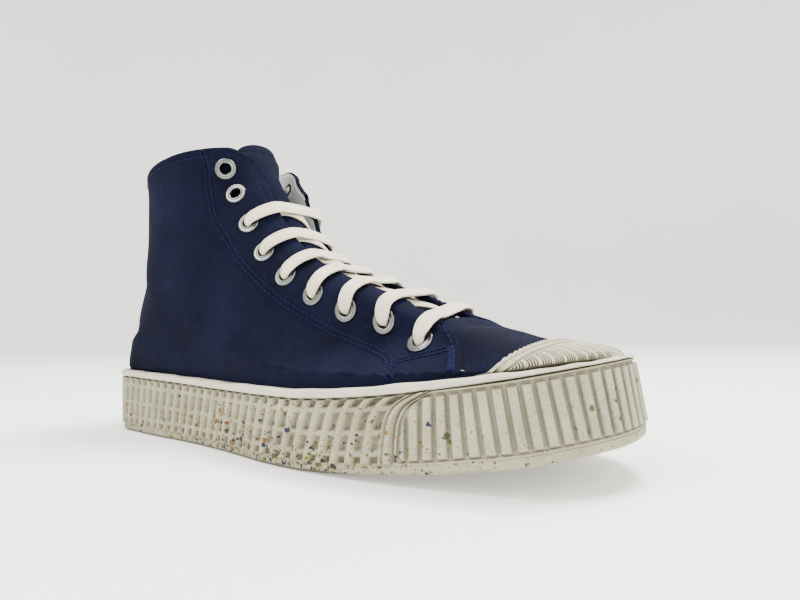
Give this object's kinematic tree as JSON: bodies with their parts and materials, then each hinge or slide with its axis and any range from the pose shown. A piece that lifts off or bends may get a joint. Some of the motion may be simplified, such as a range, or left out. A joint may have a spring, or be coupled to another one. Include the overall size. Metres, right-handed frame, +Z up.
{
  "type": "high-top canvas sneaker",
  "caption": "High-top canvas shoe for the right foot, with a thick ribbed rubber sole, rubber toe cap and laced throat.",
  "frame": {"origin": "on the floor plane, at the middle of the heel's tread", "axes": "+X to the toe, +Y to the inner (medial) side of the foot, +Z up"},
  "size_m": [0.2977, 0.1052, 0.1601],
  "materials": {
    "sole_rubber": "matt warm off-white rubber",
    "tape_rubber": "matt pale rubber tape",
    "canvas": "navy cotton canvas, fine plain weave",
    "insole_cloth": "grey cotton over foam",
    "eyelet_metal": "plated steel, dull silver",
    "lace_cotton": "cream flat cotton tape with lengthwise ribs"
  },
  "bodies": {
    "root": {"outsole": "sole_rubber", "foxing_lattice": "sole_rubber", "toe_bumper": "sole_rubber", "welt_tape": "tape_rubber", "toe_cap": "sole_rubber", "upper": "canvas", "tongue": "canvas", "insole": "insole_cloth", "eyelet_lateral_1": "eyelet_metal", "eyelet_lateral_2": "eyelet_metal", "eyelet_lateral_3": "eyelet_metal", "eyelet_lateral_4": "eyelet_metal", "eyelet_lateral_5": "eyelet_metal", "eyelet_lateral_6": "eyelet_metal", "eyelet_lateral_7": "eyelet_metal", "eyelet_lateral_8": "eyelet_metal", "eyelet_lateral_9": "eyelet_metal", "eyelet_medial_1": "eyelet_metal", "eyelet_medial_2": "eyelet_metal", "eyelet_medial_3": "eyelet_metal", "eyelet_medial_4": "eyelet_metal", "eyelet_medial_5": "eyelet_metal", "eyelet_medial_6": "eyelet_metal", "eyelet_medial_7": "eyelet_metal", "eyelet_medial_8": "eyelet_metal", "eyelet_medial_9": "eyelet_metal", "lace": "lace_cotton"}
  },
  "joints": []
}
